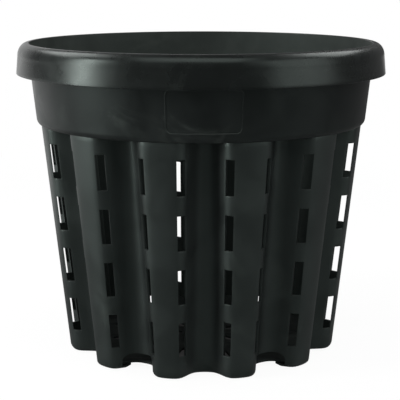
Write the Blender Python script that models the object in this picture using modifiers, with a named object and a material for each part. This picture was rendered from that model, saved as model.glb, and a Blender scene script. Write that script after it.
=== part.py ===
# Air pruning pot: a round nursery pot with a rolled rim, a plain collar, a fluted wall whose lobes
# are slotted on both flanks, drain arches between the lobes and a raised, slotted floor.
# Metres, +Z up, standing on Z = 0 with the pot's axis on Z and its label frame facing -Y.

import math

import bmesh
import bpy
from mathutils import Matrix, Vector

# Overall form
HEIGHT = 0.3030                     # ground to the top of the rim
BASE_RADIUS = 0.1350                # lobe crests, carried down to the ground
DRAFT = 0.105                       # outward lean of the walls, per unit of height
WALL = 0.0022                       # moulded wall thickness
GAP = 0.0003                        # seam between neighbouring parts
TURN_STEPS = 72                     # facets round a turned part

# Collar and the ledge that closes the flutes
COLLAR_DROP = 0.0778                # top of the rim to the underside of the ledge
COLLAR_FOOT = HEIGHT - COLLAR_DROP
COLLAR_STEP = 0.0031                # collar stands this far proud of the crests
COLLAR_ROUND = 0.0060               # height of its rounded lower edge
ROUND_STEPS = 4                     # facets of the collar's and rim's rounded edges

# Fluted wall; the sizes that change up the wall are given at the ground and at the ledge
LOBES = 12
LOBE_TURN = math.radians(-13.44)    # first crest, from the front towards +X
LOBE_FULLNESS = 1.70                # 0 is a plain sine wave, more squares the lobes
LOBE_BREADTH = 0.087                # 0 is lobes as broad as the flutes, more broadens the lobes
LOBE_BREADTH_TOP = 0.527
FLUTE_DEPTH = 0.0215                # crest to flute
FLUTE_DEPTH_TOP = 0.0247
FOOT_ROUND = 0.0039                 # rounded heel of the wall
FOOT_LAND = 0.0060                  # flat ring that the pot stands on
FOOT_STEPS = 3                      # facets of the heel

# Air slots, on both flanks of every lobe; their edges are angles from the crest
SLOT_NEAR = math.radians(4.94)
SLOT_NEAR_TOP = math.radians(5.66)
SLOT_FAR = math.radians(7.23)
SLOT_FAR_TOP = math.radians(8.33)
SLOT_ROWS = 4
SLOT_FIRST = 0.0222                 # lower end of the lowest row
SLOT_LAST = 0.0157                  # upper end of the highest row, below the ledge
SLOT_HEIGHT = 0.0334
SLOT_PITCH = (COLLAR_FOOT - SLOT_LAST - SLOT_HEIGHT - SLOT_FIRST) / (SLOT_ROWS - 1)
SIDE_FLUTES = (3, 9)                # flutes on the mould's parting line; 0 follows the first crest
SIDE_SLOT_EXTRA = math.radians(0.65)    # slots beside them reach this much farther from the crest

# Drain arches, under every second flute
ARCH_WIDTH = 0.0332
ARCH_HEIGHT = 0.0148
ARCH_ROUND = 0.0070                 # upper corners
ARCH_STEPS = 4                      # facets of a corner

# Rolled rim
RIM_REACH = 0.0093                  # roll, measured out from the wall
RIM_ROLL = 0.0123                   # height of the roll
RIM_DROP = 0.0293                   # top of the rim to the skirt's lower edge
RIM_FLARE = 0.0015                  # the skirt spreads by this much
RIM_SEAT = 0.0070                   # top of the rim to its seam with the collar
RIM_EDGE = 0.0008                   # broken inner edge

# Label frame, a raised outline on the collar's front
LABEL_WIDTH = 0.0690
LABEL_HEIGHT = 0.0400
LABEL_LIFT = 0.0277                 # its centre, above the underside of the ledge
LABEL_MIDDLE = COLLAR_FOOT + LABEL_LIFT
LABEL_TURN = math.radians(1.0)
LABEL_ROUND = 0.0060
LABEL_RIB = 0.0016
LABEL_RISE = 0.0009
LABEL_STEPS = 8                     # facets along a level side

# Raised floor with drain slots
FLOOR_LIFT = 0.0044                 # underside, above the ground
FLOOR_SLOT_WIDTH = 0.0080
FLOOR_SLOT_ROUND = 0.0030
FLOOR_RINGS = [                     # slots in the ring, nearer end, farther end
    (6, 0.020, 0.046),
    (12, 0.060, 0.092),
]

PLASTIC = (0.022, 0.024, 0.023, 1.0)


def crest_radius(z):
    return BASE_RADIUS + DRAFT * z


def rising(at_ground, at_ledge, z):
    return at_ground + (at_ledge - at_ground) * z / COLLAR_FOOT


def wall_point(angle, z):
    breadth = rising(LOBE_BREADTH, LOBE_BREADTH_TOP, z)
    flute, crest, here = (math.tanh(LOBE_FULLNESS * (breadth + wave))
                          for wave in (-1, 1, math.cos(LOBES * (angle - LOBE_TURN))))
    drop = rising(FLUTE_DEPTH, FLUTE_DEPTH_TOP, z) * (crest - here) / (crest - flute)
    radius = crest_radius(z) - drop
    return Vector((radius * math.sin(angle), -radius * math.cos(angle), z))


def inner_point(angle, z, depth):
    # The wall's section set in square to its surface
    step = 0.001
    along = wall_point(angle + step, z) - wall_point(angle - step, z)
    inward = Vector((-along.y, along.x, 0)).normalized()
    return wall_point(angle, z) + depth * inward


def half_lobe_angles(z, flute):
    half_pitch = math.pi / LOBES
    near = rising(SLOT_NEAR, SLOT_NEAR_TOP, z)
    far = rising(SLOT_FAR, SLOT_FAR_TOP, z)
    if flute in SIDE_FLUTES:
        far += SIDE_SLOT_EXTRA
    rest = (half_pitch - far) / 3
    return [0.0, near / 2, near, far, far + rest, far + 2 * rest, half_pitch]


def station_angles(z):
    angles = []
    for lobe in range(LOBES):
        crest = LOBE_TURN + lobe * math.tau / LOBES
        angles += [crest - a for a in reversed(half_lobe_angles(z, (lobe - 1) % LOBES))]
        angles += [crest + a for a in half_lobe_angles(z, lobe)[1:-1]]
    return angles


def collar_outer(z):
    return crest_radius(z) + COLLAR_STEP


def collar_inner(z):
    return collar_outer(z) - WALL


def clear_scene():
    for obj in list(bpy.data.objects):
        bpy.data.objects.remove(obj, do_unlink=True)


def new_collection(name):
    collection = bpy.data.collections.new(name)
    bpy.context.scene.collection.children.link(collection)
    return collection


def plastic(name, roughness):
    material = bpy.data.materials.new(name)
    material.use_nodes = True
    shader = material.node_tree.nodes["Principled BSDF"]
    shader.inputs["Base Color"].default_value = PLASTIC
    shader.inputs["Roughness"].default_value = roughness
    shader.inputs["Metallic"].default_value = 0.0
    return material


def add_object(name, bm, collection, roughness=None):
    mesh = bpy.data.meshes.new(name)
    bm.to_mesh(mesh)
    bm.free()
    obj = bpy.data.objects.new(name, mesh)
    collection.objects.link(obj)
    if roughness is not None:
        mesh.materials.append(plastic(name + "_plastic", roughness))
    return obj


def loft(rings, skip=lambda row, column: False):
    bm = bmesh.new()
    grid = [[bm.verts.new(point) for point in ring] for ring in rings]
    count = len(grid[0])
    for row in range(len(grid) - 1):
        for column in range(count):
            if skip(row, column):
                continue
            after = (column + 1) % count
            bm.faces.new((grid[row][column], grid[row][after],
                          grid[row + 1][after], grid[row + 1][column]))
    return bm


def turned(name, profile, collection, roughness):
    # The profile runs down its outer side and is closed
    bm = bmesh.new()
    verts = [bm.verts.new((radius, 0, z)) for radius, z in profile]
    for i, vert in enumerate(verts):
        bm.edges.new((vert, verts[(i + 1) % len(verts)]))
    obj = add_object(name, bm, collection, roughness)
    screw = obj.modifiers.new("Turn", "SCREW")
    screw.axis = "Z"
    screw.angle = math.tau
    screw.steps = TURN_STEPS
    screw.render_steps = TURN_STEPS
    screw.use_merge_vertices = True
    screw.merge_threshold = 0.00001
    return obj


def shell(obj, thickness, offset):
    solidify = obj.modifiers.new("Shell", "SOLIDIFY")
    solidify.thickness = thickness
    solidify.offset = offset
    solidify.use_even_offset = True


def cut(obj, cutter):
    cutter.hide_render = True
    cutter.display_type = "WIRE"
    boolean = obj.modifiers.new("Cut " + cutter.name, "BOOLEAN")
    boolean.operation = "DIFFERENCE"
    boolean.solver = "EXACT"
    boolean.object = cutter


def add_block(bm, size, place, edge_axis, radius, steps):
    # A box whose edges along one axis are rounded, added to a cutter
    made = bmesh.ops.create_cube(bm, size=1.0, matrix=Matrix.Diagonal((*size, 1.0)))
    edges = {edge for vert in made["verts"] for edge in vert.link_edges}
    rounded = [edge for edge in edges
               if abs((edge.verts[0].co - edge.verts[1].co)[edge_axis]) > size[edge_axis] / 2]
    before = set(bm.verts) - set(made["verts"])
    bmesh.ops.bevel(bm, geom=rounded, offset=radius, segments=steps, affect="EDGES")
    bmesh.ops.transform(bm, matrix=place, verts=[v for v in bm.verts if v not in before])


def radial_place(angle, radius, z):
    # Local Y points outwards at the given angle from the front
    return Matrix.Rotation(angle + math.pi, 4, "Z") @ Matrix.Translation((0, radius, z))


def make_fluted_wall(parts, cutters):
    wall_top = COLLAR_FOOT - GAP - WALL * DRAFT
    levels = [(0.0, FOOT_ROUND + FOOT_LAND)]
    for step in range(FOOT_STEPS + 1):
        turn = math.radians(90) * (1 - step / FOOT_STEPS)
        levels.append((FOOT_ROUND * (1 - math.sin(turn)), FOOT_ROUND * (1 - math.cos(turn))))
    slot_bands = []
    for row in range(SLOT_ROWS):
        lower = SLOT_FIRST + row * SLOT_PITCH
        slot_bands.append(len(levels))
        levels += [(lower, 0.0), (lower + SLOT_HEIGHT, 0.0)]
    levels.append((wall_top, 0.0))

    rings = [[inner_point(angle, z, inset) for angle in station_angles(z)] for z, inset in levels]
    lobe_columns = len(rings[0]) // LOBES
    last = lobe_columns // 2
    slot_columns = (last - 3, last + 2)    # between the near and far edges, either side of a crest

    def is_slot(row, column):
        return row in slot_bands and column % lobe_columns in slot_columns

    wall = add_object("fluted_wall", loft(rings, is_slot), parts, 0.45)
    shell(wall, WALL, -1)

    bm = bmesh.new()
    flute_radius = BASE_RADIUS - FLUTE_DEPTH
    reach = 2 * (FOOT_ROUND + FOOT_LAND + FLUTE_DEPTH)
    for pair in range(LOBES // 2):
        flute = LOBE_TURN + (2 * pair + 1.5) * math.tau / LOBES
        add_block(bm, (ARCH_WIDTH, reach, 2 * ARCH_HEIGHT), radial_place(flute, flute_radius, 0),
                  1, ARCH_ROUND, ARCH_STEPS)
    cut(wall, add_object("drain_arches", bm, cutters))
    return wall


def make_collar(parts, cutters):
    top = HEIGHT - RIM_SEAT - GAP
    ledge_top = COLLAR_FOOT + WALL
    crest = crest_radius(COLLAR_FOOT)
    ledge_inner = crest - FLUTE_DEPTH_TOP - 3 * WALL
    shoulder = COLLAR_FOOT + COLLAR_ROUND
    profile = [(collar_outer(top), top)]
    for step in range(ROUND_STEPS + 1):
        turn = math.radians(90) * step / ROUND_STEPS
        profile.append((crest + (collar_outer(shoulder) - crest) * math.cos(turn),
                        shoulder - COLLAR_ROUND * math.sin(turn)))
    profile += [(ledge_inner, COLLAR_FOOT), (ledge_inner, ledge_top),
                (collar_inner(ledge_top), ledge_top), (collar_inner(top), top)]
    collar = turned("collar_band", profile, parts, 0.40)

    # The ledge is open inside the fluted wall
    section = [inner_point(angle, COLLAR_FOOT, WALL) for angle in station_angles(COLLAR_FOOT)]
    rings = [[point + Vector((0, 0, rise)) for point in section] for rise in (-WALL, 2 * WALL)]
    bm = loft(rings)
    bmesh.ops.holes_fill(bm, edges=[edge for edge in bm.edges if edge.is_boundary])
    bmesh.ops.recalc_face_normals(bm, faces=bm.faces)
    cut(collar, add_object("ledge_opening", bm, cutters))
    return collar


def make_rim(parts):
    seat = HEIGHT - RIM_SEAT
    root = collar_outer(HEIGHT)
    roll_foot = HEIGHT - RIM_ROLL
    skirt_foot = HEIGHT - RIM_DROP
    profile = [(collar_inner(HEIGHT) + RIM_EDGE, HEIGHT)]
    turns = [math.radians(90) * step / ROUND_STEPS for step in range(ROUND_STEPS + 1)]
    for turn in turns:
        profile.append((root + RIM_REACH * math.sin(turn), roll_foot + RIM_ROLL * math.cos(turn)))
    skirt = root + RIM_REACH + RIM_FLARE
    profile += [(skirt, skirt_foot), (skirt - WALL, skirt_foot)]
    for turn in reversed(turns):
        profile.append((root + (RIM_REACH - WALL) * math.sin(turn),
                        roll_foot + (RIM_ROLL - WALL) * math.cos(turn)))
    profile += [(collar_outer(seat), seat), (collar_inner(seat), seat),
                (collar_inner(HEIGHT - RIM_EDGE), HEIGHT - RIM_EDGE)]
    return turned("rim_lip", profile, parts, 0.35)


def rounded_rectangle(width, height, radius):
    # Anticlockwise from the lower right corner; the level sides are divided to follow the collar
    points = []
    centres = [(1, -1, -90), (1, 1, 0), (-1, 1, 90), (-1, -1, 180)]
    for i, (side_x, side_z, start) in enumerate(centres):
        centre_x = side_x * (width / 2 - radius)
        centre_z = side_z * (height / 2 - radius)
        for step in range(ROUND_STEPS + 1):
            turn = math.radians(start + 90 * step / ROUND_STEPS)
            points.append((centre_x + radius * math.cos(turn), centre_z + radius * math.sin(turn)))
        if i % 2 == 1:
            for step in range(1, LABEL_STEPS):
                share = 1 - 2 * step / LABEL_STEPS
                points.append((centre_x * share, centre_z + side_z * radius))
    return points


def on_collar(across, up):
    z = LABEL_MIDDLE + up
    radius = collar_outer(z) + GAP
    angle = LABEL_TURN + across / collar_outer(LABEL_MIDDLE)
    return Vector((radius * math.sin(angle), -radius * math.cos(angle), z))


def make_label_frame(parts):
    outlines = [rounded_rectangle(LABEL_WIDTH, LABEL_HEIGHT, LABEL_ROUND),
                rounded_rectangle(LABEL_WIDTH - 2 * LABEL_RIB, LABEL_HEIGHT - 2 * LABEL_RIB,
                                  LABEL_ROUND - LABEL_RIB)]
    rings = [[on_collar(across, up) for across, up in outline] for outline in outlines]
    frame = add_object("label_frame", loft(rings), parts, 0.40)
    shell(frame, LABEL_RISE, 1)
    return frame


def make_floor(parts, cutters):
    bm = bmesh.new()
    bm.faces.new([bm.verts.new(inner_point(angle, FLOOR_LIFT, WALL + GAP))
                  for angle in station_angles(FLOOR_LIFT)])
    floor = add_object("floor_plate", bm, parts, 0.50)
    shell(floor, WALL, 1)

    bm = bmesh.new()
    for count, near, far in FLOOR_RINGS:
        for i in range(count):
            angle = LOBE_TURN + i * math.tau / count
            add_block(bm, (FLOOR_SLOT_WIDTH, far - near, 4 * WALL),
                      radial_place(angle, (near + far) / 2, FLOOR_LIFT + WALL / 2),
                      2, FLOOR_SLOT_ROUND, 2)
    cut(floor, add_object("floor_slots", bm, cutters))
    return floor


def settle(obj):
    # Keeps the finished form, smooth over its curves and crisp at its edges
    evaluated = obj.evaluated_get(bpy.context.evaluated_depsgraph_get())
    mesh = bpy.data.meshes.new_from_object(evaluated)
    obj.modifiers.clear()
    obj.data = mesh
    mesh.name = obj.name
    mesh.shade_smooth()
    mesh.set_sharp_from_angle(angle=math.radians(32))


def main():
    clear_scene()
    parts = new_collection("air_pruning_pot")
    cutters = new_collection("cutters")
    made = [
        make_rim(parts),
        make_collar(parts, cutters),
        make_label_frame(parts),
        make_fluted_wall(parts, cutters),
        make_floor(parts, cutters),
    ]
    bpy.context.view_layer.update()
    for obj in made:
        settle(obj)


main()
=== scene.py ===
import math

import bmesh
import bpy
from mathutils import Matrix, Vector


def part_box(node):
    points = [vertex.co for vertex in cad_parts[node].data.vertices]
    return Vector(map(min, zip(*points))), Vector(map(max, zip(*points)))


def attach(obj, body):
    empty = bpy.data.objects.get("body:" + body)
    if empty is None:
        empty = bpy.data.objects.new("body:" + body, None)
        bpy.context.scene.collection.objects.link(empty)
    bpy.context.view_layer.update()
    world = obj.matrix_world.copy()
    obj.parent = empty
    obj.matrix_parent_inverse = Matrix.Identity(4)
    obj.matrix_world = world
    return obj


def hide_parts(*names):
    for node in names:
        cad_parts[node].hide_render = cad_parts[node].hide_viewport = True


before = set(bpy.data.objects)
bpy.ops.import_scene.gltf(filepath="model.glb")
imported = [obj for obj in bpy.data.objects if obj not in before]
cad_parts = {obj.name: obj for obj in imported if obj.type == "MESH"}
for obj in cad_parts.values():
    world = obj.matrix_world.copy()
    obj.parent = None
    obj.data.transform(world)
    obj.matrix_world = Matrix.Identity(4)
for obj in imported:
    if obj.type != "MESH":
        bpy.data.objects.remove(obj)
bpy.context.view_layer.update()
print("frame loaded:", len(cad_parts), "nodes")

rimLow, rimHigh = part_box("rim_lip")
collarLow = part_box("collar_band")[0]
floorLow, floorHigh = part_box("floor_plate")

potForm = {
    "height": rimHigh.z,
    "ledgeFoot": collarLow.z,       # underside of the ledge that closes the flutes
    "baseRadius": 0.1350,           # lobe crests at the ground
    "draft": 0.105,                 # outward lean of the walls
    "wall": 0.0022,
    "lobes": 12,
    "firstCrest": math.radians(-13.44),
    "fullness": 1.70,               # squares the lobes a little
    "breadth": (0.087, 0.527),      # at the ground and at the ledge: the lobes broaden upwards
    "fluteDepth": (0.0215, 0.0247),
    "slotNear": (math.radians(4.94), math.radians(5.66)),   # slot edges, from the crest
    "slotFar": (math.radians(7.23), math.radians(8.33)),
    "sideFlutes": (3, 9),           # flutes at the mould's parting line, whose slots are cut deeper
    "sideExtra": math.radians(0.65),
    "collarStep": 0.0031,           # collar stands proud of the crests
}


def rising(key, z):
    low, high = potForm[key]
    return low + (high - low) * z / potForm["ledgeFoot"]


def crestRadius(z):
    return potForm["baseRadius"] + potForm["draft"] * z


def collarOuter(z):
    return crestRadius(z) + potForm["collarStep"]


def polar(radius, angle, z):
    return Vector((radius * math.sin(angle), -radius * math.cos(angle), z))   # angle 0 faces the front


def wavePoint(angle, z):
    turn = math.cos(potForm["lobes"] * (angle - potForm["firstCrest"]))
    breadth = rising("breadth", z)
    flute, crest, here = (math.tanh(potForm["fullness"] * (breadth + wave)) for wave in (-1, 1, turn))
    drop = rising("fluteDepth", z) * (crest - here) / (crest - flute)
    return polar(crestRadius(z) - drop, angle, z)


def setInPoint(angle, z, depth):
    step = 0.001                    # radians to each side, for the slope of the wave
    along = wavePoint(angle + step, z) - wavePoint(angle - step, z)
    return wavePoint(angle, z) + depth * Vector((-along.y, along.x, 0)).normalized()


columnPlan = {"crestSteps": 6, "slotSteps": 3, "fluteSteps": 7, "margin": 0.0011}   # columns in half a lobe


def spread(start, end, steps):
    return [start + (end - start) * i / steps for i in range(steps)]


def halfLobe(z, fluteIndex, relief=0.0):
    near, far, flute = rising("slotNear", z) - relief, rising("slotFar", z), math.pi / potForm["lobes"]
    if fluteIndex in potForm["sideFlutes"]:
        far += potForm["sideExtra"]
    margin = columnPlan["margin"] / crestRadius(z)                # close columns keep the slot edges crisp
    return (spread(0.0, near - margin, columnPlan["crestSteps"]) + [near - margin]
            + spread(near, far, columnPlan["slotSteps"]) + [far]
            + spread(far + margin, flute, columnPlan["fluteSteps"]) + [flute])


def columnAngles(z):
    angles = []
    for lobe in range(potForm["lobes"]):
        crest = potForm["firstCrest"] + lobe * math.tau / potForm["lobes"]
        angles += [crest - a for a in reversed(halfLobe(z, (lobe - 1) % potForm["lobes"]))]
        angles += [crest + a for a in halfLobe(z, lobe)[1:-1]]
    return angles


def addPiece(name, bm, material, nodes, sharpAngle):
    mesh = bpy.data.meshes.new(name)
    bm.to_mesh(mesh)
    bm.free()
    piece = bpy.data.objects.new(name, mesh)
    bpy.context.scene.collection.objects.link(piece)
    mesh.materials.append(material)
    mesh.shade_smooth()
    mesh.set_sharp_from_angle(angle=math.radians(sharpAngle))
    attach(piece, "root")
    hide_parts(*nodes)
    return piece


def loftRings(rings, closed=False, skip=None, bm=None):
    bm = bm or bmesh.new()
    grid = [[bm.verts.new(point) for point in ring] for ring in rings]
    count = len(grid[0])
    rows = len(grid) if closed else len(grid) - 1
    for row in range(rows):
        lower, upper = grid[row], grid[(row + 1) % len(grid)]
        for column in range(count):
            if skip and skip(row, column):
                continue
            after = (column + 1) % count
            bm.faces.new((lower[column], lower[after], upper[after], upper[column]))
    return bm


def applyModifiers(piece, sharpAngle):
    graph = bpy.context.evaluated_depsgraph_get()
    mesh = bpy.data.meshes.new_from_object(piece.evaluated_get(graph))
    piece.modifiers.clear()
    piece.data = mesh
    mesh.shade_smooth()
    mesh.set_sharp_from_angle(angle=math.radians(sharpAngle))


def arc(centreR, centreZ, radiusR, radiusZ, start, end, steps):
    # radius and height pairs along part of an ellipse
    turns = [math.radians(start + (end - start) * i / steps) for i in range(steps + 1)]
    return [(centreR + radiusR * math.cos(t), centreZ + radiusZ * math.sin(t)) for t in turns]


def turnedRings(profile, segments):
    return [[polar(radius, math.tau * i / segments, z) for i in range(segments)] for radius, z in profile]


# shader groups

def newGroup(name, inputs, outputs):
    group = bpy.data.node_groups.new(name, "ShaderNodeTree")
    for socket, value in inputs.items():
        made = group.interface.new_socket(socket, in_out="INPUT", socket_type="NodeSocketFloat")
        made.default_value = value
    for socket in outputs:
        group.interface.new_socket(socket, in_out="OUTPUT", socket_type="NodeSocketFloat")
    nodes = group.nodes
    return group, nodes.new("NodeGroupInput"), nodes.new("NodeGroupOutput")


def addNode(tree, kind, **settings):
    node = tree.nodes.new(kind)
    for key, value in settings.items():
        if key in node.inputs:
            node.inputs[key].default_value = value
        else:
            setattr(node, key, value)
    return node


def mathNode(tree, operation, first, second):
    node = addNode(tree, "ShaderNodeMath", operation=operation)
    for i, value in enumerate((first, second)):
        if isinstance(value, (int, float)):
            node.inputs[i].default_value = value
        else:
            tree.links.new(value, node.inputs[i])
    return node.outputs[0]


def rangeNode(tree, value, low, high, newLow, newHigh):
    node = addNode(tree, "ShaderNodeMapRange", interpolation_type="SMOOTHSTEP")
    tree.links.new(value, node.inputs["Value"])
    for socket, number in zip(("From Min", "From Max", "To Min", "To Max"), (low, high, newLow, newHigh)):
        node.inputs[socket].default_value = number
    return node.outputs["Result"]


def noiseNode(tree, vector, scale, detail, roughness=0.5, distortion=0.0):
    node = addNode(tree, "ShaderNodeTexNoise", Detail=detail, Roughness=roughness, Distortion=distortion)
    tree.links.new(vector, node.inputs["Vector"])
    if isinstance(scale, (int, float)):
        node.inputs["Scale"].default_value = scale
    else:
        tree.links.new(scale, node.inputs["Scale"])
    return node.outputs["Fac"]


skinSet = {
    "fine": {"detail": 3.0, "roughness": 0.6},
    "clouds": {"detail": 4.0, "roughness": 0.55, "distortion": 0.6},
    "cloudRange": (0.32, 0.68),
    "fineShare": 0.35,              # of the fine grain in the height
}


def buildSkin():
    # fine moulded skin, and slow clouds where the melt cooled unevenly
    group, enter, leave = newGroup("mouldedSkin", {"Grain Scale": 900.0, "Cloud Scale": 26.0},
                                   ["Height", "Clouds"])
    place = addNode(group, "ShaderNodeTexCoord").outputs["Object"]
    fine = noiseNode(group, place, enter.outputs["Grain Scale"], **skinSet["fine"])
    clouds = noiseNode(group, place, enter.outputs["Cloud Scale"], **skinSet["clouds"])
    soft = rangeNode(group, clouds, *skinSet["cloudRange"], 0.0, 1.0)
    height = mathNode(group, "ADD", mathNode(group, "MULTIPLY", fine, skinSet["fineShare"]), clouds)
    group.links.new(height, leave.inputs["Height"])
    group.links.new(soft, leave.inputs["Clouds"])
    return group


scuffSet = {
    "rub": {"detail": 6.0, "roughness": 0.62, "distortion": 1.2},
    "rubRange": (0.50, 0.74),
    "patch": {"scale": 7.0, "detail": 2.0},     # rubs keep to these patches
    "patchRange": (0.44, 0.64),
    "hair": {"scale": 3.0, "detail": 2.0, "distortion": 0.4},
    "hairStretch": (60.0, 60.0, 7.0),
    "hairTilt": (0.35, 0.25, 0.4),
    "hairWidth": 0.006,
    "sparse": {"scale": 22.0, "detail": 2.0},   # scratches keep to these patches
    "sparseRange": (0.58, 0.70),
}


def buildScuffs():
    # pale rubs and hair scratches from stacking and handling
    group, enter, leave = newGroup("stackingScuffs", {"Rub Scale": 18.0, "Amount": 0.5},
                                   ["Rubs", "Scratches"])
    place = addNode(group, "ShaderNodeTexCoord").outputs["Object"]
    amount = enter.outputs["Amount"]
    rub = noiseNode(group, place, enter.outputs["Rub Scale"], **scuffSet["rub"])
    patch = noiseNode(group, place, **scuffSet["patch"])
    rubs = mathNode(group, "MULTIPLY", rangeNode(group, rub, *scuffSet["rubRange"], 0.0, 1.0),
                    rangeNode(group, patch, *scuffSet["patchRange"], 0.0, 1.0))
    group.links.new(mathNode(group, "MULTIPLY", rubs, amount), leave.inputs["Rubs"])
    bend = addNode(group, "ShaderNodeMapping")
    bend.inputs["Scale"].default_value = scuffSet["hairStretch"]
    bend.inputs["Rotation"].default_value = scuffSet["hairTilt"]
    group.links.new(place, bend.inputs["Vector"])
    hair = noiseNode(group, bend.outputs["Vector"], **scuffSet["hair"])
    offLine = mathNode(group, "ABSOLUTE", mathNode(group, "SUBTRACT", hair, 0.5), 0.0)
    thin = rangeNode(group, offLine, 0.0, scuffSet["hairWidth"], 1.0, 0.0)
    sparse = noiseNode(group, place, **scuffSet["sparse"])
    kept = rangeNode(group, sparse, *scuffSet["sparseRange"], 0.0, 1.0)
    scratches = mathNode(group, "MULTIPLY", mathNode(group, "MULTIPLY", thin, kept), amount)
    group.links.new(scratches, leave.inputs["Scratches"])
    return group


dustSet = {
    "speckRange": (0.02, 0.10),
    "rare": {"scale": 70.0, "detail": 2.0},     # specks keep to these patches
    "rareRange": (0.66, 0.74),
    "upward": (0.02, 0.10),                     # inner walls lean up a little
    "film": {"scale": 45.0, "detail": 5.0},
    "filmRange": (0.35, 0.70),
    "filmLevels": (0.36, 0.54),
}


def buildDust():
    # specks, and a thin film of soil dust on what faces up
    group, enter, leave = newGroup("settledDust", {"Speck Scale": 260.0, "Amount": 0.5}, ["Dust"])
    place = addNode(group, "ShaderNodeTexCoord").outputs["Object"]
    cells = addNode(group, "ShaderNodeTexVoronoi", feature="F1")
    group.links.new(place, cells.inputs["Vector"])
    group.links.new(enter.outputs["Speck Scale"], cells.inputs["Scale"])
    specks = rangeNode(group, cells.outputs["Distance"], *dustSet["speckRange"], 1.0, 0.0)
    rare = rangeNode(group, noiseNode(group, place, **dustSet["rare"]), *dustSet["rareRange"], 0.0, 1.0)
    split = addNode(group, "ShaderNodeSeparateXYZ")
    group.links.new(addNode(group, "ShaderNodeNewGeometry").outputs["Normal"], split.inputs[0])
    upward = rangeNode(group, split.outputs["Z"], *dustSet["upward"], 0.0, 1.0)
    patches = noiseNode(group, place, **dustSet["film"])
    film = mathNode(group, "MULTIPLY", upward,
                    rangeNode(group, patches, *dustSet["filmRange"], *dustSet["filmLevels"]))
    total = mathNode(group, "MAXIMUM", mathNode(group, "MULTIPLY", specks, rare), film)
    group.links.new(mathNode(group, "MULTIPLY", total, enter.outputs["Amount"]), leave.inputs["Dust"])
    return group


coreSet = {"facing": (-0.25, -0.05)}    # how far a face has to turn to the axis


def buildCore():
    # 1 on faces turned to the pot's axis, which the mould's core leaves matt, and where the colour is
    # darkened as painted shade
    group, _, leave = newGroup("coreSide", {}, ["Inside"])
    out = addNode(group, "ShaderNodeVectorMath", operation="MULTIPLY")
    group.links.new(addNode(group, "ShaderNodeTexCoord").outputs["Object"], out.inputs[0])
    out.inputs[1].default_value = (1.0, 1.0, 0.0)
    unit = addNode(group, "ShaderNodeVectorMath", operation="NORMALIZE")
    group.links.new(out.outputs["Vector"], unit.inputs[0])
    facing = addNode(group, "ShaderNodeVectorMath", operation="DOT_PRODUCT")
    group.links.new(unit.outputs["Vector"], facing.inputs[0])
    group.links.new(addNode(group, "ShaderNodeNewGeometry").outputs["Normal"], facing.inputs[1])
    inside = rangeNode(group, facing.outputs["Value"], *coreSet["facing"], 1.0, 0.0)
    group.links.new(inside, leave.inputs["Inside"])
    return group


skinGroup = buildSkin()
scuffGroup = buildScuffs()
dustGroup = buildDust()
coreGroup = buildCore()


def mixColour(tree, factor, first, second):
    node = addNode(tree, "ShaderNodeMix", data_type="RGBA")
    tree.links.new(factor, node.inputs["Factor"])
    for socket, value in ((node.inputs[6], first), (node.inputs[7], second)):
        if isinstance(value, tuple):
            socket.default_value = value
        else:
            tree.links.new(value, socket)
    return node.outputs[2]


def blackPlastic(name, look):
    material = bpy.data.materials.new(name)
    material.use_nodes = True
    tree = material.node_tree
    shader = tree.nodes["Principled BSDF"]
    shader.inputs["IOR"].default_value = look["ior"]
    shader.inputs["Specular IOR Level"].default_value = look["specular"]
    shader.inputs["Specular Tint"].default_value = look["glint"]
    skin = addNode(tree, "ShaderNodeGroup", node_tree=skinGroup)
    skin.inputs["Grain Scale"].default_value = look["grainScale"]
    skin.inputs["Cloud Scale"].default_value = look["cloudScale"]
    scuffs = addNode(tree, "ShaderNodeGroup", node_tree=scuffGroup)
    scuffs.inputs["Amount"].default_value = look["scuffs"]
    dust = addNode(tree, "ShaderNodeGroup", node_tree=dustGroup)
    dust.inputs["Amount"].default_value = look["dust"]
    body = mixColour(tree, skin.outputs["Clouds"], look["dark"], look["light"])
    rubbed = mixColour(tree, scuffs.outputs["Rubs"], body, look["rub"])
    dusted = mixColour(tree, dust.outputs["Dust"], rubbed, look["dustColour"])
    inside = addNode(tree, "ShaderNodeGroup", node_tree=coreGroup).outputs["Inside"]
    # painted shade: faces turned to the axis, inside the pot and its slots, are darkened in colour
    paintedShade = mathNode(tree, "MULTIPLY", inside, look["paintedCoreShade"])
    tree.links.new(mixColour(tree, paintedShade, dusted, (0.0, 0.0, 0.0, 1.0)), shader.inputs["Base Color"])
    rough = rangeNode(tree, skin.outputs["Clouds"], 0.0, 1.0, look["roughLow"], look["roughHigh"])
    rough = mathNode(tree, "ADD", rough, mathNode(tree, "MULTIPLY", scuffs.outputs["Rubs"], look["rubRough"]))
    rough = mathNode(tree, "ADD", rough, mathNode(tree, "MULTIPLY", dust.outputs["Dust"], look["dustRough"]))
    rough = mathNode(tree, "ADD", rough, mathNode(tree, "MULTIPLY", inside, look["coreMatt"]))
    tree.links.new(rough, shader.inputs["Roughness"])
    height = mathNode(tree, "SUBTRACT", skin.outputs["Height"],
                      mathNode(tree, "MULTIPLY", scuffs.outputs["Scratches"], look["scratchDepth"]))
    bump = addNode(tree, "ShaderNodeBump", Strength=look["bump"], Distance=look["bumpDistance"])
    tree.links.new(height, bump.inputs["Height"])
    tree.links.new(bump.outputs["Normal"], shader.inputs["Normal"])
    return material


baseLook = {
    "rub": (0.034, 0.040, 0.036, 1.0),
    "dustColour": (0.050, 0.058, 0.053, 1.0),
    "ior": 1.49,
    "specular": 0.34,
    "glint": (0.79, 1.0, 0.915, 1.0),   # tint of the gloss
    "grainScale": 900.0,
    "cloudScale": 26.0,
    "scuffs": 0.5,
    "dust": 0.5,
    "roughLow": 0.34,
    "roughHigh": 0.42,
    "rubRough": 0.12,       # roughness added by rubs
    "dustRough": 0.3,
    "bump": 0.10,
    "bumpDistance": 0.0004,
    "scratchDepth": 0.5,
    "coreMatt": 0.1,        # roughness added on the side that the core forms
    "paintedCoreShade": 0.12,      # painted shade: how much darker the colour is on that side
}
cloudSpread = 0.18
redShare = 0.88                 # the black leans to a cool green


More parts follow.
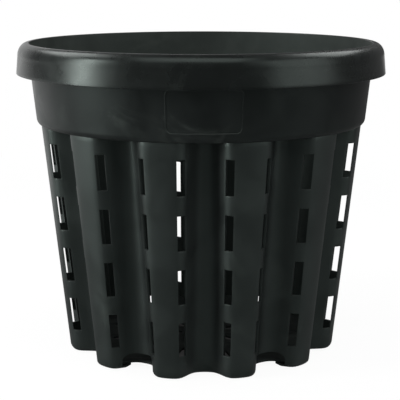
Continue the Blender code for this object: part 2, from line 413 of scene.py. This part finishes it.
def tinted(level):
    # the two shades between which the clouds vary
    return {name: (redShare * level * share, level * share, level * share, 1.0)
            for name, share in (("dark", 1 - cloudSpread), ("light", 1 + cloudSpread))}


# painted shade: the one black plastic is given a different darkness on each piece, darkest on the rim and
# lightest on the wall, standing in for how light falls on them
rimPlastic = blackPlastic("rimPlastic", {
    **baseLook, **tinted(0.0054), "roughLow": 0.25, "roughHigh": 0.31, "scuffs": 0.2, "dust": 0.06,
    "specular": 0.29, "bump": 0.05, "glint": (0.84, 1.0, 0.93, 1.0)})
collarPlastic = blackPlastic("collarPlastic", {
    **baseLook, **tinted(0.0082), "scuffs": 0.7, "dust": 1.0, "specular": 0.17})
wallPlastic = blackPlastic("wallPlastic", {
    **baseLook, **tinted(0.0100), "roughLow": 0.40, "roughHigh": 0.48, "scuffs": 0.35, "dust": 0.12,
    "specular": 0.50, "coreMatt": 0.5, "paintedCoreShade": 0.6})
floorPlastic = blackPlastic("floorPlastic", {
    **baseLook, **tinted(0.0070), "roughLow": 0.50, "roughHigh": 0.60, "dust": 0.1, "specular": 0.16})
print("finishes ready")


# rim

rimSet = {
    "reach": 0.0093,        # roll, out from the wall
    "roll": 0.0123,
    "drop": rimHigh.z - rimLow.z,
    "flare": 0.0015,
    "edge": 0.0009,         # rounded inner edge
    "hem": 0.0005,          # rounded lower edge of the skirt
    "legDrop": 0.0100,      # hidden end of the leg, inside the collar
    "legSides": (0.3, 0.7),     # of the collar's wall, where the leg ends
    "segments": 288,
    "edgeSteps": 5,
    "rollSteps": 22,
    "skirtSteps": 6,
    "hemSteps": 4,
    "insideSteps": 12,
    "sharp": 50,            # degrees
}


def makeRim():
    top = potForm["height"]
    wall = potForm["wall"]
    root = collarOuter(top)
    inner = root - wall
    rollFoot = top - rimSet["roll"]
    skirtFoot = top - rimSet["drop"]
    skirt = root + rimSet["reach"] + rimSet["flare"]
    edge, hem = rimSet["edge"], rimSet["hem"]
    profile = arc(inner + edge, top - edge, edge, edge, 180, 90, rimSet["edgeSteps"])
    profile += arc(root, rollFoot, rimSet["reach"], rimSet["roll"], 90, 0, rimSet["rollSteps"])
    run = rimSet["drop"] - rimSet["roll"] - hem
    for i in range(1, rimSet["skirtSteps"] + 1):
        share = i / rimSet["skirtSteps"]
        profile.append((root + rimSet["reach"] + rimSet["flare"] * share, rollFoot - run * share))
    profile += arc(skirt - hem, skirtFoot + hem, hem, hem, -20, -90, rimSet["hemSteps"])
    profile += arc(skirt - wall + hem, skirtFoot + hem, hem, hem, -90, -180, rimSet["hemSteps"])
    profile += arc(root, rollFoot, rimSet["reach"] - wall, rimSet["roll"] - wall, 0, 88,
                   rimSet["insideSteps"])
    legFoot = top - rimSet["legDrop"]
    profile += [(collarOuter(legFoot) - side * wall, legFoot) for side in rimSet["legSides"]]
    bm = loftRings(turnedRings(profile, rimSet["segments"]), closed=True)
    bmesh.ops.recalc_face_normals(bm, faces=bm.faces)
    return addPiece("rimLip", bm, rimPlastic, ["rim_lip"], rimSet["sharp"])


# collar and ledge

collarSet = {
    "round": 0.0060,        # height of the rounded lower edge
    "inside": 0.0030,       # fillet where the ledge meets the collar
    "lip": 0.0006,          # softened inner edge of the ledge
    "rows": 10,
    "roundSteps": 8,
    "insideSteps": 4,
    "sharp": 40,            # degrees
}


def makeCollar():
    wall = potForm["wall"]
    foot = potForm["ledgeFoot"]
    top = potForm["height"] - rimSet["edge"]
    crest = crestRadius(foot)
    shoulder = foot + collarSet["round"]
    angles = columnAngles(foot)
    outside = [(collarOuter(z), z) for z in spread(top, shoulder, collarSet["rows"])]
    outside += arc(crest, shoulder, collarOuter(shoulder) - crest, collarSet["round"], 0, -90,
                   collarSet["roundSteps"])
    ledgeTop = foot + wall
    fillet = collarSet["inside"]
    filletRadius, filletTop = collarOuter(ledgeTop + fillet) - wall - fillet, ledgeTop + fillet
    inside = [(filletRadius, ledgeTop)]
    inside += arc(filletRadius, filletTop, fillet, fillet, -60, 0, collarSet["insideSteps"])
    inside += [(collarOuter(z) - wall, z) for z in spread(top, filletTop, collarSet["rows"])][::-1]
    rings = [[polar(radius, angle, z) for angle in angles] for radius, z in outside]
    lip = collarSet["lip"]
    for depth, up in ((wall - lip, 0), (wall, lip), (wall, wall - lip), (wall - lip, wall)):
        rings.append([setInPoint(angle, foot, depth) + Vector((0, 0, up)) for angle in angles])
    rings += [[polar(radius, angle, z) for angle in angles] for radius, z in inside]
    bm = loftRings(rings, closed=True)
    bmesh.ops.recalc_face_normals(bm, faces=bm.faces)
    return addPiece("collarBand", bm, collarPlastic, ["collar_band"], collarSet["sharp"])


# fluted wall

wallSet = {
    "heel": 0.0039,
    "heelSteps": 6,
    "land": 0.0052,         # flat foot
    "slotRows": 4,
    "firstSlot": 0.0222,
    "slotPitch": 0.0513,
    "slotHeight": 0.0334,
    "slotSplits": 5,        # rows of faces beside a slot
    "gapSplits": 3,         # rows of faces between slots
    "slotEdge": 0.0002,     # rounding of the slot edges
    "edgeAngle": 40,        # degrees from which an edge is rounded
    "edgeSteps": 2,
    "slotRelief": math.radians(1.2),    # the inside of a slot is opened by this much towards the crest
    "archWidth": 0.0332,
    "archHeight": 0.0148,
    "archRound": 0.0070,
    "archSteps": 10,
    "archFront": 0.0020,    # the cut runs from here in front of the wall to behind it
    "archBack": 0.0108,
    "archSole": 0.0026,     # below this the cut is straight
    "soleOverlap": 1.2,     # the straight cut reaches this share of that height
    "archSettle": 8,        # rounds in which a column of the cut finds the wall
    "sunk": 0.0006,         # the top runs this far into the ledge
    "smooth": 180,          # degrees, while the shell is made
    "sharp": 25,
    "tinyEdge": 0.00001,
}


def archColumn(middle, across, top):
    angle = middle
    for _ in range(wallSet["archSettle"]):
        angle = middle + math.asin(across / wavePoint(angle, top / 2).xy.length)
    front, back, low = -wallSet["archFront"], wallSet["archBack"], wallSet["archSole"]
    ring = ((front, low), (front, top), (back, top), (back, low))
    return [setInPoint(angle, z, depth) for depth, z in ring]


def soleColumn(middle, across):
    outer, inner = crestRadius(0), crestRadius(0) - 2 * potForm["fluteDepth"][0]
    low, high = -wallSet["archFront"], wallSet["soleOverlap"] * wallSet["archSole"]
    along, aside = polar(1, middle, 0), polar(across, middle + math.pi / 2, 0)
    ring = ((outer, low), (outer, high), (inner, high), (inner, low))
    return [along * radius + aside + Vector((0, 0, z)) for radius, z in ring]


def cutterFrom(name, columnSets):
    bm = bmesh.new()
    for columns in columnSets:
        loftRings(columns, bm=bm)
        bm.verts.ensure_lookup_table()
        corners = len(columns[0])
        bm.faces.new(bm.verts[-corners:])                         # closes the ends
        bm.faces.new(bm.verts[len(bm.verts) - corners * len(columns):][:corners])
    bmesh.ops.recalc_face_normals(bm, faces=bm.faces)
    mesh = bpy.data.meshes.new(name)
    bm.to_mesh(mesh)
    bm.free()
    cutter = bpy.data.objects.new(name, mesh)
    bpy.context.scene.collection.objects.link(cutter)
    return cutter


def archCutters():
    # above the foot square to the wall, so the jambs stay short on the flanks, and straight through the foot
    corner, steps = wallSet["archRound"], wallSet["archSteps"]
    half, high = wallSet["archWidth"] / 2, wallSet["archHeight"]
    side = arc(half - corner, high - corner, corner, corner, 0, 90, steps)
    outline = side + [(x, high) for x in spread(half - corner, corner - half, steps)[1:]]
    outline += [(-x, z) for x, z in side[::-1]]
    pitch = math.tau / potForm["lobes"]
    middles = [potForm["firstCrest"] + (i + 0.5) * pitch for i in range(1, potForm["lobes"], 2)]
    return (cutterFrom("archCutter", [[archColumn(m, *point) for point in outline] for m in middles]),
            cutterFrom("soleCutter", [[soleColumn(m, half), soleColumn(m, -half)] for m in middles]))


def openSlots(mesh, levels, slotBands, near, halfCount):
    # the inner copy of the vertices follows the outer ones, row by row
    outerCount = len(mesh.vertices) // 2
    ringCount = 2 * halfCount * potForm["lobes"]
    for row in sorted(set(slotBands) | {row + 1 for row in slotBands}):
        z = levels[row][0]
        for lobe in range(potForm["lobes"]):
            crest = potForm["firstCrest"] + lobe * math.tau / potForm["lobes"]
            middle = outerCount + row * ringCount + 2 * halfCount * lobe + halfCount
            for i, angle in enumerate(halfLobe(z, lobe, wallSet["slotRelief"])[:near + 1]):
                for side in (-1, 1):
                    mesh.vertices[middle + side * i].co = setInPoint(crest + side * angle, z, potForm["wall"])
    bm = bmesh.new()
    bm.from_mesh(mesh)
    bmesh.ops.delete(bm, geom=[vert for vert in bm.verts if not vert.link_faces], context="VERTS")
    bm.to_mesh(mesh)
    bm.free()


def makeWall():
    levels = [(0.0, wallSet["heel"] + wallSet["land"])]
    for i in range(wallSet["heelSteps"] + 1):
        turn = math.radians(90) * (1 - i / wallSet["heelSteps"])
        levels.append((wallSet["heel"] * (1 - math.sin(turn)), wallSet["heel"] * (1 - math.cos(turn))))
    slotBands = []
    last = levels[-1][0]
    margin = columnPlan["margin"]
    for row in range(wallSet["slotRows"]):
        lower = wallSet["firstSlot"] + row * wallSet["slotPitch"]
        upper = lower + wallSet["slotHeight"]
        gap = spread(last, lower - margin, wallSet["gapSplits"])[1:] + [lower - margin]
        levels += [(z, 0.0) for z in gap]
        slotBands += range(len(levels), len(levels) + wallSet["slotSplits"])
        last = upper + margin
        levels += [(z, 0.0) for z in spread(lower, upper, wallSet["slotSplits"]) + [upper, last]]
    wallTop = potForm["ledgeFoot"] + wallSet["sunk"]
    levels += [(z, 0.0) for z in spread(last, wallTop, wallSet["gapSplits"])[1:] + [wallTop]]

    near, wide = columnPlan["crestSteps"] + 1, columnPlan["slotSteps"]
    halfCount = near + wide + 1 + columnPlan["fluteSteps"]
    strips = (halfCount - near - wide, halfCount + near)          # first columns of a lobe's two slot strips

    def isSlot(row, column):
        spot = column % (2 * halfCount)
        return row in slotBands and any(first <= spot < first + wide for first in strips)

    bm = loftRings([[setInPoint(angle, z, inset) for angle in columnAngles(z)] for z, inset in levels],
                   skip=isSlot)
    wall = addPiece("flutedWall", bm, wallPlastic, ["fluted_wall"], wallSet["smooth"])
    shell = wall.modifiers.new("wall", "SOLIDIFY")
    shell.thickness = potForm["wall"]
    shell.offset = -1
    shell.use_even_offset = True
    applyModifiers(wall, wallSet["smooth"])
    openSlots(wall.data, levels, slotBands, near, halfCount)
    soften = wall.modifiers.new("edges", "BEVEL")
    soften.width = wallSet["slotEdge"]
    soften.segments = wallSet["edgeSteps"]
    soften.limit_method = "ANGLE"
    soften.angle_limit = math.radians(wallSet["edgeAngle"])
    wall.modifiers.new("flatFaces", "TRIANGULATE")                # flat faces cut cleanly
    cutters = archCutters()
    for cutter in cutters:
        arches = wall.modifiers.new(cutter.name, "BOOLEAN")
        arches.operation = "DIFFERENCE"
        arches.solver = "EXACT"
        arches.object = cutter
    applyModifiers(wall, wallSet["sharp"])
    for cutter in cutters:
        bpy.data.objects.remove(cutter, do_unlink=True)
    bm = bmesh.new()
    bm.from_mesh(wall.data)
    bmesh.ops.triangulate(bm, faces=[face for face in bm.faces if len(face.verts) > 3])
    bmesh.ops.dissolve_degenerate(bm, dist=wallSet["tinyEdge"], edges=bm.edges)
    bm.to_mesh(wall.data)
    bm.free()
    return wall


# label frame

labelSet = {
    "width": 0.0690,
    "height": 0.0400,
    "middle": 0.2529,
    "turn": math.radians(1.0),
    "round": 0.0060,
    "rib": 0.0016,
    "rise": 0.00045,
    "fullness": 0.6,        # 1 is a plain round rib, less is fuller
    "sunk": 0.0004,
    "ribSteps": 8,
    "cornerSteps": 8,
    "sideSteps": 24,
    "sharp": 60,            # degrees
}


def labelOutline(inset):
    width, height = labelSet["width"] - 2 * inset, labelSet["height"] - 2 * inset
    radius = labelSet["round"] - inset
    points = []
    for i, (sideX, sideZ) in enumerate(((1, -1), (1, 1), (-1, 1), (-1, -1))):
        centre = (sideX * (width / 2 - radius), sideZ * (height / 2 - radius))
        points += arc(*centre, radius, radius, 90 * i - 90, 90 * i, labelSet["cornerSteps"])
        if i % 2 == 1:
            level = centre[1] + sideZ * radius
            points += [(x, level) for x in spread(centre[0], -centre[0], labelSet["sideSteps"])[1:]]
    return points


def makeLabel():
    rings = []
    steps = labelSet["ribSteps"]
    for i in range(steps + 1):
        share = i / steps                                         # across the rib, outside to inside
        lift = -labelSet["sunk"]
        if 0 < i < steps:
            lift = labelSet["rise"] * math.sin(math.pi * share) ** labelSet["fullness"]
        ring = []
        for across, up in labelOutline(labelSet["rib"] * share):
            z = labelSet["middle"] + up
            angle = labelSet["turn"] + across / collarOuter(labelSet["middle"])
            ring.append(polar(collarOuter(z) + lift, angle, z))
        rings.append(ring)
    bm = loftRings(rings, closed=True)
    bmesh.ops.recalc_face_normals(bm, faces=bm.faces)
    return addPiece("labelFrame", bm, collarPlastic, ["label_frame"], labelSet["sharp"])


# floor

floorSet = {
    "rings": [(6, 0.020, 0.046), (12, 0.060, 0.092)],   # slots in the ring, nearer end, farther end
    "slotWidth": 0.0080,
    "edge": 0.0004,
    "edgeSteps": 2,
    "sunk": 0.0002,         # the rim of the floor runs this far into the wall
    "endSteps": 8,
    "weld": 0.00001,
    "sharp": 40,            # degrees
}


def addSpline(curve, points):
    spline = curve.splines.new("POLY")
    spline.points.add(len(points) - 1)
    for place, point in zip(spline.points, points):
        place.co = (point[0], point[1], 0, 1)
    spline.use_cyclic_u = True


def floorSlot(angle, near, far):
    half = floorSet["slotWidth"] / 2
    along = Vector((math.sin(angle), -math.cos(angle)))
    across = Vector((along.y, -along.x))
    ends = arc(far - half, 0, half, half, -90, 90, floorSet["endSteps"])
    ends += arc(near + half, 0, half, half, 90, 270, floorSet["endSteps"])
    return [along * r + across * s for r, s in ends]


def makeFloor():
    curve = bpy.data.curves.new("floorOutline", "CURVE")
    curve.dimensions = "2D"
    curve.fill_mode = "BOTH"
    curve.bevel_depth = floorSet["edge"]
    curve.bevel_resolution = floorSet["edgeSteps"]
    curve.offset = -floorSet["edge"]
    curve.extrude = (floorHigh.z - floorLow.z) / 2 - floorSet["edge"]
    inset = potForm["wall"] - floorSet["sunk"]
    addSpline(curve, [setInPoint(angle, floorLow.z, inset) for angle in columnAngles(floorLow.z)])
    for count, near, far in floorSet["rings"]:
        for i in range(count):
            addSpline(curve, floorSlot(potForm["firstCrest"] + i * math.tau / count, near, far))
    outline = bpy.data.objects.new("floorOutline", curve)
    bpy.context.scene.collection.objects.link(outline)
    graph = bpy.context.evaluated_depsgraph_get()
    mesh = bpy.data.meshes.new_from_object(outline.evaluated_get(graph))
    bpy.data.objects.remove(outline, do_unlink=True)
    bm = bmesh.new()
    bm.from_mesh(mesh)
    bmesh.ops.remove_doubles(bm, verts=bm.verts, dist=floorSet["weld"])
    bmesh.ops.translate(bm, verts=bm.verts, vec=(0, 0, (floorHigh.z + floorLow.z) / 2))
    return addPiece("floorPlate", bm, floorPlastic, ["floor_plate"], floorSet["sharp"])


makeRim()
makeCollar()
makeWall()
makeLabel()
makeFloor()
print("pot built")


# stage, light and camera

stageSet = {
    "floorSize": 12.0,
    "paper": (0.9, 0.9, 0.9, 1.0),
    "paperRough": 0.9,
    "shadowShare": 0.06,            # how much of the floor's white is real light, so that a shadow stays
    "shadowReach": (0.5, 1.2),      # metres over which that share ends
    "ambient": 0.31,
    "dimFront": 0.14,               # the room in front and beside, as the pot's gloss sees it
    "whiteFloor": ((-0.85, 0.55, 0.0), 0.28, 0.90),     # way, start and end of its turn to white, in gloss
    "whiteWorld": ((-0.40, 0.92, 0.0), 0.85, 1.0),
    "paintedPotShadow": (0.100, 0.110, 0.02),   # painted shadow: the floor is dark inside the first radius and white from the second
    "paintedShadowCentre": 0.020,             # centre of that painted shadow, behind the axis
    "backdrop": (1.0, 1.0, 1.0, 1.0),
}


def seenLevel(tree, place, towards, start, end):
    # white to the camera and through gaps; in reflections white behind to the left and dim elsewhere
    rays = addNode(tree, "ShaderNodeLightPath")
    direct = mathNode(tree, "MAXIMUM", rays.outputs["Is Camera Ray"], rays.outputs["Is Transmission Ray"])
    along = addNode(tree, "ShaderNodeVectorMath", operation="DOT_PRODUCT")
    tree.links.new(place, along.inputs[0])
    along.inputs[1].default_value = towards
    mirrored = mathNode(tree, "MULTIPLY", rays.outputs["Is Glossy Ray"],
                        rangeNode(tree, along.outputs["Value"], start, end, stageSet["dimFront"], 1.0))
    seen = mathNode(tree, "MAXIMUM", direct, rays.outputs["Is Glossy Ray"])
    return seen, mathNode(tree, "MAXIMUM", direct, mirrored)


def makeStage():
    bm = bmesh.new()
    bmesh.ops.create_grid(bm, x_segments=1, y_segments=1, size=stageSet["floorSize"] / 2)
    mesh = bpy.data.meshes.new("studioFloor")
    bm.to_mesh(mesh)
    bm.free()
    studioFloor = bpy.data.objects.new("studioFloor", mesh)
    bpy.context.scene.collection.objects.link(studioFloor)
    material = bpy.data.materials.new("studioWhite")
    material.use_nodes = True
    tree = material.node_tree
    shader = tree.nodes["Principled BSDF"]
    shader.inputs["Base Color"].default_value = stageSet["paper"]
    shader.inputs["Roughness"].default_value = stageSet["paperRough"]
    place = addNode(tree, "ShaderNodeTexCoord").outputs["Object"]
    seen, level = seenLevel(tree, place, *stageSet["whiteFloor"])
    far = addNode(tree, "ShaderNodeVectorMath", operation="DISTANCE")
    tree.links.new(place, far.inputs[0])
    far.inputs[1].default_value = (0.0, stageSet["paintedShadowCentre"], 0.0)
    # painted shadow under the pot, which darkens the floor's glow
    inner, outer, dark = stageSet["paintedPotShadow"]
    shade = rangeNode(tree, far.outputs["Value"], inner, outer, dark, 1.0)
    glow = addNode(tree, "ShaderNodeEmission", Color=stageSet["backdrop"])
    tree.links.new(mathNode(tree, "MULTIPLY", level, shade), glow.inputs["Strength"])
    blend = addNode(tree, "ShaderNodeMixShader")
    painted = rangeNode(tree, far.outputs["Value"], *stageSet["shadowReach"],
                        1 - stageSet["shadowShare"], 1.0)
    tree.links.new(mathNode(tree, "MULTIPLY", seen, painted), blend.inputs[0])
    tree.links.new(shader.outputs[0], blend.inputs[1])
    tree.links.new(glow.outputs[0], blend.inputs[2])
    tree.links.new(blend.outputs[0], tree.nodes["Material Output"].inputs["Surface"])
    mesh.materials.append(material)

    world = bpy.data.worlds.new("studioWorld")
    world.use_nodes = True
    bpy.context.scene.world = world
    tree = world.node_tree
    back = tree.nodes["Background"]
    back.inputs["Color"].default_value = stageSet["backdrop"]
    seen, level = seenLevel(tree, addNode(tree, "ShaderNodeTexCoord").outputs["Generated"],
                            *stageSet["whiteWorld"])
    rest = mathNode(tree, "MULTIPLY", mathNode(tree, "SUBTRACT", 1.0, seen), stageSet["ambient"])
    tree.links.new(mathNode(tree, "ADD", level, rest), back.inputs["Strength"])


lampAim = 0.6                       # of the pot's height
lampSet = {
    "keyLeft": {"turn": -71, "lift": 13, "away": 1.5, "size": (0.42, 1.2), "power": 22.5},
    "fillRight": {"turn": 61, "lift": 20, "away": 1.8, "size": (1.3, 1.5), "power": 12.6},
    "topSoft": {"turn": -6, "lift": 60, "away": 1.6, "size": (1.4, 0.9), "power": 8.8},
    "highLeft": {"turn": -112, "lift": 46, "away": 1.4, "size": (0.9, 0.6), "power": 9},
    "highRight": {"turn": 118, "lift": 46, "away": 1.4, "size": (0.9, 0.6), "power": 7},
}


def makeLamps():
    aim = Vector((0, 0, potForm["height"] * lampAim))
    for name, lamp in lampSet.items():
        light = bpy.data.lights.new(name, "AREA")
        light.shape = "RECTANGLE"
        light.size, light.size_y = lamp["size"]
        light.energy = lamp["power"]
        turn, lift = math.radians(lamp["turn"]), math.radians(lamp["lift"])
        reach = lamp["away"]
        place = aim + polar(reach * math.cos(lift), turn, reach * math.sin(lift))
        fixture = bpy.data.objects.new(name, light)
        fixture.location = place
        fixture.rotation_euler = (aim - place).to_track_quat("-Z", "Y").to_euler()
        bpy.context.scene.collection.objects.link(fixture)


cameraSet = {
    "place": (0.0, -1.1712, 0.3794),
    "pitch": 0.1988,        # radians below level
    "yaw": 0.00078,
    "focal": 1181.2,        # in pixels of the 400 pixel frame
    "frame": 400,
    "sensor": 36.0,
    "clipEnd": 50,
}


def makeCamera():
    data = bpy.data.cameras.new("photoCamera")
    data.sensor_width = cameraSet["sensor"]
    data.lens = cameraSet["sensor"] * cameraSet["focal"] / cameraSet["frame"]
    data.clip_end = cameraSet["clipEnd"]
    camera = bpy.data.objects.new("photoCamera", data)
    camera.location = cameraSet["place"]
    camera.rotation_euler = (math.pi / 2 - cameraSet["pitch"], 0, cameraSet["yaw"])
    bpy.context.scene.collection.objects.link(camera)
    bpy.context.scene.camera = camera


makeStage()
makeLamps()
makeCamera()
bpy.context.scene.view_settings.view_transform = "Standard"
print("stage, lamps and camera ready")

bpy.context.view_layer.update()
